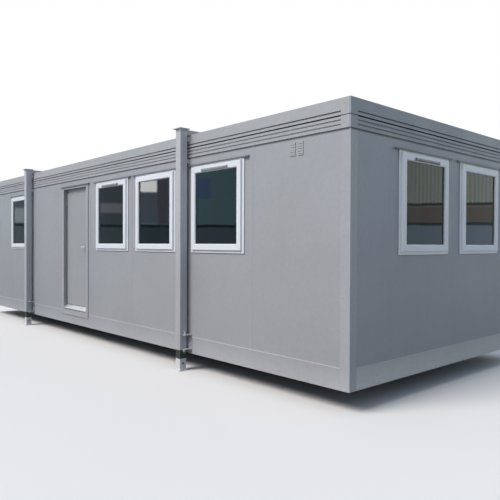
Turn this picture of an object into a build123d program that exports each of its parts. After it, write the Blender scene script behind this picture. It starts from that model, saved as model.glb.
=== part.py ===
from build123d import *
import os

# Portable site cabin, 32 ft by 12 ft, standing on four telescopic jack legs. Millimetres.
# The origin is on the ground at the centre of the plan. +X runs along the front to the right,
# +Y from the front to the back, +Z up. Heights are above the body's bottom edge.

# Body
length = 9750
width = 3658
body_height = 2600
ground_gap = 200
wall = 90
corner = 105
corner_edge = 6
fit = 0.3

# Base ring, a channel section with its web outside, and the floor that it carries
base_rail_height = 198
base_rail_web = 8
base_rail_flange = 10
joist_width = 50
joist_height = 170
joist_spacing = 610
floor_thickness = 37

# Roof edge: a fascia rail with one flute over a cornice rail with two
fascia_height = 157
cornice_height = 120
cornice_depth = 50
fascia_flute_rise = 39
flute_pitch = 39
flute_count = 2
flute_mouth = 15
flute_floor = 6
flute_depth = 9
fascia_flute_depth = 13
joint_chamfer = 8
roof_ledge = 40
roof_upstand = 26
roof_thickness = 24
roof_camber = 14
ceiling_thickness = 12

# Windows, all one size
window_width = 945
window_height = 1028
window_head_gap = 95
outer_window_inset = 1858
inner_window_insets = [3128, 4277]
end_window_offset = 603
frame_face = 56
frame_proud = 12
frame_inner_depth = 58
frame_edge = 3
sash_margin = 32
sash_border = 71
sash_proud = 34
sash_inner_depth = 30
sash_edge = 4
bead_slope = 9
glass_thickness = 24
glass_edge = 12

# Trickle vents on some of the sashes
trickle_width = 450
trickle_height = 28
trickle_depth = 15
trickle_rise = 10

# Drip flashings over windows and door
drip_overhang = 75
door_drip_overhang = 38
drip_reach = 27
drip_sheet = 3
drip_upstand = 16
drip_lip = 9

# Pair of louvred wall vents
vent_width = 68
vent_height = 130
vent_depth = 7
vent_gap = 34
vent_border = 6
vent_louvres = 5
vent_louvre_face = 15
vent_slot_depth = 5
vent_slot_rise = 6
vent_head_gap = 42
vent_inset = 635

# Doorway and door frame
door_inset = 5500
door_clear_width = 815
door_head_gap = 88
door_flange_side = 70
door_flange_top = 40
door_flange_bottom = 89
door_flange_sheet = 12
door_liner = 30
door_stop_width = 20
door_stop_depth = 12
door_stop_gap = 3
threshold_nose = 14
threshold_rise = 68
threshold_upstand = 12
threshold_lap = 12

# Door leaf
leaf_recess = 48
leaf_thickness = 40
leaf_side_gap = 7
leaf_top_gap = 5
leaf_bottom_gap = 6
leaf_edge = 2

# Lift-off hinges
hinge_count = 3
hinge_end_gap = 214
hinge_length = 110
hinge_knuckle_radius = 7
hinge_knuckle_gap = 0.5
hinge_pin_radius = 4
hinge_running_gap = 0.08
hinge_flap = 2.5
hinge_flap_depth = 38

# Lever handle
lever_above_floor = 1015
lever_backset = 62
lever_length = 122
lever_return = 26
lever_bar_width = 14
lever_bar_height = 18
lever_edge = 2
lever_bend = 15
lever_neck = 46
spindle_radius = 5
spindle_running_gap = 0.08
spindle_hole_radius = 9
plate_height = 205
plate_width = 40
plate_corner = 8
plate_thickness = 8
plate_above_lever = 32

# Jack posts, fixed to the long walls, and the beams that tie their heads over the roof
jack_inset = 2430
post_size = 100
post_wall = 4
post_corner = 5
post_stand_off = 30
post_bottom = 50
cap_size = 145
cap_thickness = 10
roof_beam_width = 60
roof_beam_height = 60
roof_beam_wall = 5

# Brackets at the foot and cleats at the head of each post
bracket_width = 230
bracket_height = 180
bracket_plate = 10
bracket_back = 8
bracket_reach = 96
bracket_nose_width = 196
gusset_height = 70
gusset_width = 42
gusset_thickness = 8
gusset_reach = 80
cleat_width = 112
cleat_height = 46
low_cleat_drop = 40
high_cleat_drop = 55

# Jack legs, which slide in the posts, each with a carrying pin and a foot plate
leg_clearance = 2
leg_wall = 5
leg_length = 850
leg_hole_pitch = 150
leg_hole_count = 4
leg_holes_below_pin = 1
foot_size = 135
foot_thickness = 10
pin_radius = 12.5
pin_hole_gap = 0.3
pin_overhang = 34

# Heights worked out from the sizes above
fascia_bottom = body_height - fascia_height
cornice_bottom = fascia_bottom - cornice_height
floor_top = base_rail_height + floor_thickness
window_top = cornice_bottom - window_head_gap
window_mid = window_top - window_height / 2
door_flange_head = cornice_bottom - door_head_gap
door_clear_top = door_flange_head - door_flange_top
door_clear_bottom = base_rail_height + door_liner
threshold_top = door_clear_bottom + threshold_rise
leaf_bottom = threshold_top + leaf_bottom_gap
leaf_top = door_clear_top - leaf_top_gap
lever_height = floor_top + lever_above_floor
post_top = body_height + roof_beam_height + fit

# Planes of the four sides: origin at the middle of the bottom edge, x to the right, y up
half_length = length / 2
half_width = width / 2
front = Plane(origin=(0, -half_width, ground_gap), x_dir=(1, 0, 0), z_dir=(0, -1, 0))
back = Plane(origin=(0, half_width, ground_gap), x_dir=(-1, 0, 0), z_dir=(0, 1, 0))
right_end = Plane(origin=(half_length, 0, ground_gap), x_dir=(0, 1, 0), z_dir=(1, 0, 0))
left_end = Plane(origin=(-half_length, 0, ground_gap), x_dir=(0, -1, 0), z_dir=(-1, 0, 0))
side_lengths = [(front, length), (back, length), (right_end, width), (left_end, width)]
plan_corners = GridLocations(length - corner, width - corner, 2, 2)

# Places of the windows along each side, from its middle
outer_window = half_length - outer_window_inset
inner_windows = [half_length - inset for inset in inner_window_insets]
front_windows = [-outer_window, outer_window] + inner_windows
back_windows = [-place for place in front_windows]
end_windows = [-end_window_offset, end_window_offset]
side_windows = [
    (front, front_windows),
    (back, back_windows),
    (right_end, end_windows),
    (left_end, end_windows),
]

os.makedirs("parts", exist_ok=True)


def level(height):
    """A horizontal plane at a height above the body's bottom edge."""
    return Plane.XY.offset(ground_gap + height)


def section_at(side, start):
    """A plane across a side, x inwards from its outer face and y up, normal along the side."""
    origin = side.from_local_coords((start, 0, 0))
    return Plane(origin=origin, x_dir=-side.z_dir, z_dir=side.x_dir)


def window_planes():
    """A plane on the wall's face at the middle of each window."""
    planes = []
    for side, places in side_windows:
        for place in places:
            origin = side.from_local_coords((place, window_mid, 0))
            planes.append(Plane(origin=origin, x_dir=side.x_dir, z_dir=side.z_dir))
    return planes


def write(builder, name):
    """Label a finished piece and write it."""
    builder.part.label = name
    export_step(builder.part, "parts/" + name + ".step")


# Base ring and floor
with BuildPart() as base_rails:
    for side, side_length in side_lengths:
        with BuildSketch(section_at(side, corner - side_length / 2)):
            with BuildLine():
                Polyline(
                    (0, 0),
                    (wall, 0),
                    (wall, base_rail_flange),
                    (base_rail_web, base_rail_flange),
                    (base_rail_web, base_rail_height - base_rail_flange),
                    (wall, base_rail_height - base_rail_flange),
                    (wall, base_rail_height),
                    (0, base_rail_height),
                    close=True,
                )
            make_face()
        extrude(amount=side_length - 2 * corner)
write(base_rails, "base_rails")

joist_run = length - 2 * corner - joist_width
joist_count = 1 + round(joist_run / joist_spacing)
with BuildPart() as floor_joists:
    with BuildSketch(level(base_rail_height - joist_height)):
        with GridLocations(joist_run / (joist_count - 1), 0, joist_count, 1):
            Rectangle(joist_width, width - 2 * wall)
    extrude(amount=joist_height)
write(floor_joists, "floor_joists")

# The deck is notched at the corner posts and at the door frame
door_place = half_length - door_inset
stop_depth = leaf_recess + leaf_thickness + door_stop_gap
door_frame_depth = stop_depth + door_stop_depth
with BuildPart() as floor_deck:
    with BuildSketch(level(base_rail_height)):
        Rectangle(length - 2 * wall - 2 * fit, width - 2 * wall - 2 * fit)
        with plan_corners:
            Rectangle(corner + 2 * fit, corner + 2 * fit, mode=Mode.SUBTRACT)
        with Locations((door_place, door_frame_depth + fit - half_width)):
            Rectangle(
                door_clear_width + 2 * door_liner + 2 * fit,
                door_frame_depth,
                align=(Align.CENTER, Align.MAX),
                mode=Mode.SUBTRACT,
            )
    extrude(amount=floor_thickness)
write(floor_deck, "floor_deck")


def corner_blocks(bottom, top):
    """Square blocks at the four corners of the plan, with their outer upright edge eased."""
    with BuildPart() as blocks:
        with BuildSketch(level(bottom)):
            with plan_corners:
                Rectangle(corner, corner)
            chamfer(vertices().sort_by(SortBy.DISTANCE)[-4:], length=corner_edge)
        extrude(amount=top - bottom)
    return blocks


def is_outer(edge):
    """Whether an edge lies on the outside of the body."""
    centre = edge.center()
    on_end = abs(centre.X) > half_length - corner_edge
    return on_end or abs(centre.Y) > half_width - corner_edge


# Corner posts, with the plain corner blocks of the cornice and the fascia on top
corner_posts = corner_blocks(0, cornice_bottom)
write(corner_posts, "corner_posts")

cornice_corners = corner_blocks(cornice_bottom, fascia_bottom)
with cornice_corners:
    chamfer(edges().group_by(Axis.Z)[0].filter_by(is_outer), length=joint_chamfer)
write(cornice_corners, "cornice_corners")

fascia_corners = corner_blocks(fascia_bottom, body_height)
with fascia_corners:
    chamfer(edges().group_by(Axis.Z)[0].filter_by(is_outer), length=joint_chamfer)
write(fascia_corners, "fascia_corners")


def flute(height, depth):
    """The corners of a groove in a rail's outer face, from its lower lip to its upper lip."""
    return [
        (0, height - flute_mouth / 2),
        (depth, height - flute_floor / 2),
        (depth, height + flute_floor / 2),
        (0, height + flute_mouth / 2),
    ]


def edge_rails(outline):
    """Rails of one section along all four sides, between the corner blocks."""
    with BuildPart() as rails:
        for side, side_length in side_lengths:
            with BuildSketch(section_at(side, corner - side_length / 2)):
                with BuildLine():
                    Polyline(*outline, close=True)
                make_face()
            extrude(amount=side_length - 2 * corner)
    return rails


# Cornice rails carry the ceiling's edge behind them, fascia rails hold the roof in a rebate
cornice_outline = [
    (cornice_depth, cornice_bottom),
    (joint_chamfer, cornice_bottom),
    (0, cornice_bottom + joint_chamfer),
]
for number in range(flute_count, 0, -1):
    cornice_outline.extend(flute(fascia_bottom - number * flute_pitch, flute_depth))
cornice_outline.append((0, fascia_bottom - flute_mouth / 2))
cornice_outline.append((fascia_flute_depth, fascia_bottom))
cornice_outline.append((cornice_depth, fascia_bottom))
write(edge_rails(cornice_outline), "cornice_rails")

roof_seat = body_height - roof_upstand - roof_thickness
fascia_outline = [
    (wall, fascia_bottom),
    (fascia_flute_depth, fascia_bottom),
    (0, fascia_bottom + flute_mouth / 2),
]
fascia_outline.extend(flute(fascia_bottom + fascia_flute_rise, fascia_flute_depth))
fascia_outline.append((0, body_height))
fascia_outline.append((wall - roof_ledge, body_height))
fascia_outline.append((wall - roof_ledge, roof_seat))
fascia_outline.append((wall, roof_seat))
write(edge_rails(fascia_outline), "fascia_rails")

# Roof, cambered across the width
roof_length = length - 2 * corner
roof_width = width - 2 * (wall - roof_ledge) - 2 * fit
with BuildPart() as roof:
    with BuildSketch(Plane(origin=(-roof_length / 2, 0, ground_gap), x_dir=(0, 1, 0), z_dir=(1, 0, 0))):
        with BuildLine():
            underside = Line((-roof_width / 2, roof_seat), (roof_width / 2, roof_seat))
            back_edge = Line(underside @ 1, (roof_width / 2, roof_seat + roof_thickness))
            crown = ThreePointArc(
                back_edge @ 1,
                (0, roof_seat + roof_thickness + roof_camber),
                (-roof_width / 2, roof_seat + roof_thickness),
            )
            Line(crown @ 1, underside @ 0)
        make_face()
    extrude(amount=roof_length)
write(roof, "roof_sheet")

with BuildPart() as ceiling:
    with BuildSketch(level(cornice_bottom)):
        Rectangle(length - 2 * corner, width - 2 * cornice_depth - 2 * fit)
    extrude(amount=ceiling_thickness)
write(ceiling, "ceiling")


def wall_panel(side, left, right, places):
    """A wall panel between two places along a side, with a hole for each window in it."""
    with BuildPart() as panel:
        with BuildSketch(side):
            with Locations(((left + right) / 2, (base_rail_height + cornice_bottom) / 2)):
                Rectangle(right - left, cornice_bottom - base_rail_height)
            with Locations(*[(place, window_mid) for place in places]):
                Rectangle(window_width + 2 * fit, window_height + 2 * fit, mode=Mode.SUBTRACT)
        extrude(amount=-wall)
    return panel


# Wall panels, from the base ring to the cornice, with the windows cut through
doorway_left = door_place - door_clear_width / 2 - door_liner - fit
doorway_right = door_place + door_clear_width / 2 + door_liner + fit
doorway_top = door_clear_top + door_liner + fit
long_end = half_length - corner
short_end = half_width - corner
write(wall_panel(front, -long_end, doorway_left, front_windows[:1]), "front_wall_left")
write(wall_panel(front, doorway_right, long_end, front_windows[1:]), "front_wall_right")
write(wall_panel(back, -long_end, long_end, back_windows), "back_wall")
write(wall_panel(right_end, -short_end, short_end, end_windows), "right_end_wall")
write(wall_panel(left_end, -short_end, short_end, end_windows), "left_end_wall")

with BuildPart() as front_wall_over_door:
    with BuildSketch(front):
        with Locations((door_place, (doorway_top + cornice_bottom) / 2)):
            Rectangle(doorway_right - doorway_left - 2 * fit, cornice_bottom - doorway_top)
    extrude(amount=-wall)
write(front_wall_over_door, "front_wall_over_door")


def at_windows(piece):
    """Copies of a piece, made round the origin, at the middle of every window."""
    with BuildPart() as copies:
        with Locations(*window_planes()):
            add(piece.part)
    return copies


# Window frame, let into the wall with its outer edge eased
rebate_width = window_width - 2 * frame_face
rebate_height = window_height - 2 * frame_face
with BuildPart() as frame:
    with BuildSketch(Plane.XY.offset(frame_proud)):
        Rectangle(window_width, window_height)
        Rectangle(rebate_width, rebate_height, mode=Mode.SUBTRACT)
    extrude(amount=-frame_proud - frame_inner_depth)
    chamfer(faces().sort_by(Axis.Z)[-1].outer_wire().edges(), length=frame_edge)
write(at_windows(frame), "window_frames")

# Sash: a lip that laps over the frame, sloped to the glass, and a body in the frame's rebate
sash_width = window_width - 2 * sash_margin
sash_height = window_height - 2 * sash_margin
pane_width = sash_width - 2 * sash_border
pane_height = sash_height - 2 * sash_border
with BuildPart() as sash:
    with BuildSketch(Plane.XY.offset(sash_proud)):
        Rectangle(sash_width, sash_height)
        Rectangle(pane_width, pane_height, mode=Mode.SUBTRACT)
    extrude(amount=frame_proud - sash_proud)
    chamfer(faces().sort_by(Axis.Z)[-1].outer_wire().edges(), length=sash_edge)
    chamfer(faces().sort_by(Axis.Z)[-1].inner_wires()[0].edges(), length=bead_slope)
    with BuildSketch(Plane.XY.offset(frame_proud)):
        Rectangle(rebate_width - 2 * fit, rebate_height - 2 * fit)
        Rectangle(pane_width + 2 * glass_edge, pane_height + 2 * glass_edge, mode=Mode.SUBTRACT)
    extrude(amount=-frame_proud - sash_inner_depth)
write(at_windows(sash), "window_sashes")

# Sealed glass unit behind the sash's lip
with BuildPart() as glass:
    with BuildSketch(Plane.XY.offset(frame_proud)):
        Rectangle(pane_width + 2 * glass_edge - 2 * fit, pane_height + 2 * glass_edge - 2 * fit)
    extrude(amount=-glass_thickness)
write(at_windows(glass), "window_glass")

# Trickle vent hoods on the top rail of three sashes of the front and the right end
hood_bottom = window_mid + pane_height / 2 + trickle_rise
trickle_places = [
    (front, outer_window),
    (front, inner_windows[1]),
    (right_end, -end_window_offset),
]
with BuildPart() as trickle_vents:
    for side, place in trickle_places:
        with BuildSketch(section_at(side, place - trickle_width / 2)):
            with BuildLine():
                Polyline(
                    (-sash_proud, hood_bottom),
                    (-sash_proud, hood_bottom + trickle_height),
                    (-sash_proud - trickle_depth / 3, hood_bottom + trickle_height),
                    (-sash_proud - trickle_depth, hood_bottom + trickle_height / 2),
                    (-sash_proud - trickle_depth, hood_bottom),
                    close=True,
                )
            make_face()
        extrude(amount=trickle_width)
write(trickle_vents, "trickle_vents")

# Drip flashings: an upstand on the wall, a shelf and a lip turned down
door_drip_width = door_clear_width + 2 * door_flange_side + 2 * door_drip_overhang
drips = [(front, door_place, door_flange_head, door_drip_width)]
for side, places in side_windows:
    for place in places:
        drips.append((side, place, window_top, window_width + 2 * drip_overhang))
with BuildPart() as drip_flashings:
    for side, place, head, drip_width in drips:
        foot = head + fit
        with BuildSketch(section_at(side, place - drip_width / 2)):
            with BuildLine():
                Polyline(
                    (0, foot),
                    (0, foot + drip_upstand),
                    (-drip_sheet, foot + drip_upstand),
                    (-drip_sheet, foot + 2 * drip_sheet),
                    (-drip_reach, foot + drip_sheet),
                    (-drip_reach, foot - drip_lip),
                    (drip_sheet - drip_reach, foot - drip_lip),
                    (drip_sheet - drip_reach, foot),
                    close=True,
                )
            make_face()
        extrude(amount=drip_width)
write(drip_flashings, "drip_flashings")

# Louvred vents: each slot slopes up behind the louvre above it
vent_mid = cornice_bottom - vent_head_gap - vent_height / 2
vent_place = half_length - vent_inset
vent_step = (vent_width + vent_gap) / 2
louvre_pitch = (vent_height - 2 * vent_border) / vent_louvres
with BuildPart() as wall_vents:
    with BuildSketch(front):
        with Locations((vent_place - vent_step, vent_mid), (vent_place + vent_step, vent_mid)):
            Rectangle(vent_width, vent_height)
    extrude(amount=vent_depth)
    for place in [vent_place - vent_step, vent_place + vent_step]:
        for number in range(vent_louvres):
            slot_foot = vent_mid - vent_height / 2 + vent_border + number * louvre_pitch
            slot_head = slot_foot + louvre_pitch - vent_louvre_face
            with BuildSketch(section_at(front, place - vent_width / 2 + vent_border)):
                with BuildLine():
                    Polyline(
                        (-vent_depth, slot_foot),
                        (-vent_depth, slot_head),
                        (vent_slot_depth - vent_depth, slot_head + vent_slot_rise),
                        (vent_slot_depth - vent_depth, slot_foot + vent_slot_rise),
                        close=True,
                    )
                make_face()
            extrude(amount=vent_width - 2 * vent_border, mode=Mode.SUBTRACT)
write(wall_vents, "wall_vents")

# Door frame: a flange on the wall's face, a liner through the wall and a stop behind the leaf
door_clear_height = door_clear_top - door_clear_bottom
door_clear_mid = (door_clear_top + door_clear_bottom) / 2
stop_bottom = threshold_top + threshold_upstand + fit
with BuildPart() as door_frame:
    with BuildSketch(front.offset(door_flange_sheet)):
        with Locations((door_place, door_clear_mid + (door_flange_top - door_flange_bottom) / 2)):
            Rectangle(
                door_clear_width + 2 * door_flange_side,
                door_clear_height + door_flange_top + door_flange_bottom,
            )
        with Locations((door_place, door_clear_mid)):
            Rectangle(door_clear_width, door_clear_height, mode=Mode.SUBTRACT)
    extrude(amount=-door_flange_sheet)
    with BuildSketch(front):
        with Locations((door_place, door_clear_mid)):
            Rectangle(door_clear_width + 2 * door_liner, door_clear_height + 2 * door_liner)
            Rectangle(door_clear_width, door_clear_height, mode=Mode.SUBTRACT)
    extrude(amount=-door_frame_depth)
    with BuildSketch(front.offset(-stop_depth)):
        with Locations((door_place, (stop_bottom + door_clear_top) / 2)):
            Rectangle(door_clear_width, door_clear_top - stop_bottom)
        with Locations((door_place, (stop_bottom + door_clear_top - door_stop_width) / 2)):
            Rectangle(
                door_clear_width - 2 * door_stop_width,
                door_clear_top - door_stop_width - stop_bottom,
                mode=Mode.SUBTRACT,
            )
    extrude(amount=-door_stop_depth)
write(door_frame, "door_frame")

# Threshold, sloped up to the leaf, with an upstand behind the leaf's foot
threshold_width = door_clear_width - 2 * fit
with BuildPart() as threshold:
    with BuildSketch(section_at(front, door_place - threshold_width / 2)):
        with BuildLine():
            Polyline(
                (-threshold_lap, door_clear_bottom),
                (-threshold_lap, door_clear_bottom + threshold_nose),
                (leaf_recess - threshold_lap, threshold_top),
                (stop_depth, threshold_top),
                (stop_depth, threshold_top + threshold_upstand),
                (door_frame_depth, threshold_top + threshold_upstand),
                (door_frame_depth, door_clear_bottom),
                close=True,
            )
        make_face()
    extrude(amount=threshold_width)
write(threshold, "threshold")

# Door leaf, with a hole for the spindle
leaf_left = door_place - door_clear_width / 2 + leaf_side_gap
leaf_right = door_place + door_clear_width / 2 - leaf_side_gap
lever_place = leaf_right - lever_backset
leaf_front = front.offset(-leaf_recess)
leaf_back = front.offset(-leaf_recess - leaf_thickness)
with BuildPart() as door_leaf:
    with BuildSketch(leaf_front):
        with Locations(((leaf_left + leaf_right) / 2, (leaf_bottom + leaf_top) / 2)):
            Rectangle(leaf_right - leaf_left, leaf_top - leaf_bottom)
    extrude(amount=-leaf_thickness)
    chamfer(edges().filter_by(Axis.Z), length=leaf_edge)
    with BuildSketch(leaf_front):
        with Locations((lever_place, lever_height)):
            Circle(spindle_hole_radius)
    extrude(amount=-leaf_thickness, mode=Mode.SUBTRACT)
write(door_leaf, "door_leaf")

# Lift-off hinges: the lower knuckle and its pin on the frame, the upper knuckle on the leaf
hinge_stand_off = hinge_knuckle_radius + hinge_knuckle_gap
hinge_x = door_place - door_clear_width / 2 + hinge_stand_off
hinge_y = leaf_recess - hinge_stand_off - half_width
half_hinge = hinge_length / 2
hinge_spacing = (leaf_top - leaf_bottom - 2 * hinge_end_gap) / (hinge_count - 1)
hinge_heights = [leaf_bottom + hinge_end_gap + number * hinge_spacing for number in range(hinge_count)]


def on_hinge_axis(height):
    """A horizontal plane with its origin on the hinge axis, at a height."""
    return Plane(origin=(hinge_x, hinge_y, ground_gap + height))


with BuildPart() as hinge_frame_halves:
    for height in hinge_heights:
        with BuildSketch(on_hinge_axis(height - half_hinge)):
            Circle(hinge_knuckle_radius)
            with Locations((-hinge_stand_off, 0)):
                Rectangle(hinge_flap, hinge_flap_depth, align=(Align.MIN, Align.MIN))
        extrude(amount=half_hinge - fit)
        with BuildSketch(on_hinge_axis(height - fit)):
            Circle(hinge_pin_radius)
        extrude(amount=half_hinge)
write(hinge_frame_halves, "hinge_frame_halves")

with BuildPart() as hinge_leaf_halves:
    for height in hinge_heights:
        with BuildSketch(on_hinge_axis(height)):
            Circle(hinge_knuckle_radius)
            with Locations((leaf_side_gap - hinge_stand_off, 0)):
                Rectangle(hinge_flap, hinge_flap_depth, align=(Align.MAX, Align.MIN))
            Circle(hinge_pin_radius + hinge_running_gap, mode=Mode.SUBTRACT)
        extrude(amount=half_hinge)
write(hinge_leaf_halves, "hinge_leaf_halves")

# Handle plates and levers on both faces of the leaf, the levers on one spindle
plate_mid = lever_height + plate_above_lever - plate_height / 2
with BuildPart() as handle_plates:
    for face_plane, amount in [(leaf_front, plate_thickness), (leaf_back, -plate_thickness)]:
        with BuildSketch(face_plane):
            with Locations((lever_place, plate_mid)):
                Rectangle(plate_width, plate_height)
            chamfer(vertices(), length=plate_corner)
            with Locations((lever_place, lever_height)):
                Circle(spindle_radius + spindle_running_gap, mode=Mode.SUBTRACT)
        extrude(amount=amount)
write(handle_plates, "handle_plates")

lever_mid = front.from_local_coords((lever_place, lever_height, -leaf_recess - leaf_thickness / 2))
plate_face = leaf_thickness / 2 + plate_thickness
with BuildPart() as lever_handle:
    with BuildSketch(Plane(origin=lever_mid - Vector(0, 0, lever_bar_height / 2))):
        for outwards in (-1, 1):
            with BuildLine() as route:
                FilletPolyline(
                    (0, outwards * (plate_face + fit)),
                    (0, outwards * (plate_face + lever_neck)),
                    (-lever_length, outwards * (plate_face + lever_neck)),
                    (-lever_length, outwards * (plate_face + lever_neck - lever_return)),
                    radius=lever_bend,
                )
            trace(line_width=lever_bar_width)
    extrude(amount=lever_bar_height)
    chamfer(edges().filter_by(Axis.Z, reverse=True), length=lever_edge)
    with BuildSketch(Plane(origin=lever_mid, z_dir=(0, 1, 0))):
        Circle(spindle_radius)
    extrude(amount=plate_face + 2 * fit, both=True)
write(lever_handle, "lever_handle")

# Jack posts, their caps and the beams that tie them over the roof
post_centre = half_width + post_stand_off + post_size / 2
jack_grid = GridLocations(length - 2 * jack_inset, 2 * post_centre, 2, 2)
with BuildPart() as jack_posts:
    with BuildSketch(level(post_bottom)):
        with jack_grid:
            Rectangle(post_size, post_size)
        chamfer(vertices(), length=post_corner)
        with jack_grid:
            Rectangle(post_size - 2 * post_wall, post_size - 2 * post_wall, mode=Mode.SUBTRACT)
    extrude(amount=post_top - post_bottom)
write(jack_posts, "jack_posts")

with BuildPart() as post_caps:
    with BuildSketch(level(post_top)):
        with jack_grid:
            Rectangle(cap_size, cap_size)
    extrude(amount=cap_thickness)
write(post_caps, "post_caps")

beam_span = width + 2 * post_stand_off
with BuildPart() as roof_beams:
    with BuildSketch(front.offset(post_stand_off)):
        with Locations(
            (jack_inset - half_length, post_top - roof_beam_height / 2),
            (half_length - jack_inset, post_top - roof_beam_height / 2),
        ):
            Rectangle(roof_beam_width, roof_beam_height)
            Rectangle(
                roof_beam_width - 2 * roof_beam_wall,
                roof_beam_height - 2 * roof_beam_wall,
                mode=Mode.SUBTRACT,
            )
    extrude(amount=-beam_span)
write(roof_beams, "roof_beams")

# One bracket in its own frame: the post's centre line at x = 0, the wall's face at y = 0
post_middle = post_stand_off + post_size / 2
with BuildPart() as bracket:
    for foot in [0, bracket_height - bracket_plate]:
        with BuildSketch(Plane.XY.offset(foot)):
            with BuildLine():
                Polyline(
                    (-bracket_width / 2, 0),
                    (bracket_width / 2, 0),
                    (bracket_nose_width / 2, bracket_reach),
                    (-bracket_nose_width / 2, bracket_reach),
                    close=True,
                )
            make_face()
            with Locations((0, post_middle)):
                Rectangle(post_size + 2 * fit, post_size + 2 * fit, mode=Mode.SUBTRACT)
        extrude(amount=bracket_plate)
    with BuildSketch(Plane.XY):
        with Locations((0, bracket_back / 2)):
            Rectangle(bracket_width, bracket_back)
    extrude(amount=bracket_height)
    with BuildSketch(Plane.XZ.offset(-gusset_reach)):
        for across in (-1, 1):
            with BuildLine():
                gusset_root = across * (post_size / 2 + fit)
                Polyline(
                    (gusset_root, bracket_height),
                    (gusset_root, bracket_height + gusset_height),
                    (gusset_root + across * gusset_width, bracket_height),
                    close=True,
                )
            make_face()
    extrude(amount=gusset_thickness)

# The brackets at the feet of the posts
jack_x = half_length - jack_inset
bracket_places = []
for x_sign in (-1, 1):
    bracket_places.append(Location((x_sign * jack_x, -half_width, ground_gap + post_bottom), (0, 0, 180)))
    bracket_places.append(Location((x_sign * jack_x, half_width, ground_gap + post_bottom)))
with BuildPart() as jack_brackets:
    with Locations(*bracket_places):
        add(bracket.part)
write(jack_brackets, "jack_brackets")

with BuildPart() as jack_cleats:
    for height in [cornice_bottom - low_cleat_drop, body_height - high_cleat_drop]:
        with BuildSketch(level(height - cleat_height / 2)):
            with GridLocations(2 * jack_x, width + post_stand_off, 2, 2):
                Rectangle(cleat_width, post_stand_off)
        extrude(amount=cleat_height)
write(jack_cleats, "jack_cleats")

# Jack legs with pin holes, the pin on which each post stands, and foot plates
leg_size = post_size - 2 * post_wall - 2 * leg_clearance
pin_height = post_bottom - fit - pin_radius
pin_length = leg_size + 2 * pin_overhang
jack_signs = {"front_left": (-1, -1), "front_right": (1, -1), "back_left": (-1, 1), "back_right": (1, 1)}
for name, (x_sign, y_sign) in jack_signs.items():
    on_ground = Plane(origin=(x_sign * jack_x, y_sign * post_centre, 0))
    across_leg = Plane(
        origin=(x_sign * jack_x - pin_length / 2, y_sign * post_centre, ground_gap),
        x_dir=(0, 1, 0),
        z_dir=(1, 0, 0),
    )
    with BuildPart() as leg:
        with BuildSketch(on_ground.offset(foot_thickness)):
            Rectangle(leg_size, leg_size)
            Rectangle(leg_size - 2 * leg_wall, leg_size - 2 * leg_wall, mode=Mode.SUBTRACT)
        extrude(amount=leg_length)
        with BuildSketch(across_leg):
            for number in range(leg_hole_count):
                with Locations((0, pin_height + (number - leg_holes_below_pin) * leg_hole_pitch)):
                    Circle(pin_radius + pin_hole_gap)
        extrude(amount=pin_length, mode=Mode.SUBTRACT)
    write(leg, "jack_leg_" + name)
    with BuildPart() as pin:
        with BuildSketch(across_leg):
            with Locations((0, pin_height)):
                Circle(pin_radius)
        extrude(amount=pin_length)
    write(pin, "jack_pin_" + name)
    with BuildPart() as foot_plate:
        with BuildSketch(on_ground):
            Rectangle(foot_size, foot_size)
        extrude(amount=foot_thickness)
    write(foot_plate, "jack_foot_" + name)
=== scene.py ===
import math

import bmesh
import bpy
from mathutils import Matrix, Vector


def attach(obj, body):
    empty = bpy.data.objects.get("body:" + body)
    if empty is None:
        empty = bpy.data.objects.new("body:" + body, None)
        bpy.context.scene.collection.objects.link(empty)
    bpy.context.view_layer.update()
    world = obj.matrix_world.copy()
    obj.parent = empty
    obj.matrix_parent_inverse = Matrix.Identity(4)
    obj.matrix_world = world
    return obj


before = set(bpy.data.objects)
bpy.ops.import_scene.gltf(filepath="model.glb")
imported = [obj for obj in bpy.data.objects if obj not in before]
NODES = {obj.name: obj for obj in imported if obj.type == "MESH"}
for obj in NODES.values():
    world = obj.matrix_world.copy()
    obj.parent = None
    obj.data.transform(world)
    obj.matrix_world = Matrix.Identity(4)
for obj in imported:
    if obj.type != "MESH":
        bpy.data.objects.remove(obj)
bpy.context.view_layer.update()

SCENE = bpy.context.scene

# Sizes of the cabin that the added pieces follow, in metres
HALF_LENGTH = 4.875
HALF_WIDTH = 1.829
GROUND_GAP = 0.2
WALL = 0.09
CORNER = 0.105
RAIL_TOP = 0.198
CORNICE_BOTTOM = 2.323
BODY_TOP = 2.6
ROOF_EDGE_HALF = 1.7787
ROOF_SKIN = 2.574
ROOF_CAMBER = 0.014

WINDOW_WIDTH = 0.945
WINDOW_HEIGHT = 1.028
WINDOW_MID = 1.714
SASH_MARGIN = 0.032
SASH_BORDER = 0.071
FRAME_PROUD = 0.012
SASH_PROUD = 0.034
BEAD_SLOPE = 0.009
SASH_WIDTH = WINDOW_WIDTH - 2 * SASH_MARGIN
SASH_HEIGHT = WINDOW_HEIGHT - 2 * SASH_MARGIN
PANE_WIDTH = SASH_WIDTH - 2 * SASH_BORDER
PANE_HEIGHT = SASH_HEIGHT - 2 * SASH_BORDER
# Side of each window, and its place across from the middle of that side
WINDOWS = [
    ("front", -3.017), ("front", 3.017), ("front", 1.747), ("front", 0.598),
    ("back", 3.017), ("back", -3.017), ("back", -1.747), ("back", -0.598),
    ("right", -0.603), ("right", 0.603), ("left", -0.603), ("left", 0.603),
]
TRICKLE_VENTS = [("front", 3.017), ("front", 0.598), ("right", -0.603)]
TRICKLE_WIDTH = 0.45
TRICKLE_BOTTOM = 2.135
TRICKLE_FACE = 0.0485
DRIP_OVERHANG = 0.075
DRIP_SCREW_RISE = 0.0113
DRIP_TOP = 0.0163
DRIP_SHEET = 0.003
WALL_VENTS = [4.189, 4.291]
VENT_MID = 2.216
VENT_DEPTH = 0.007

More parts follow.
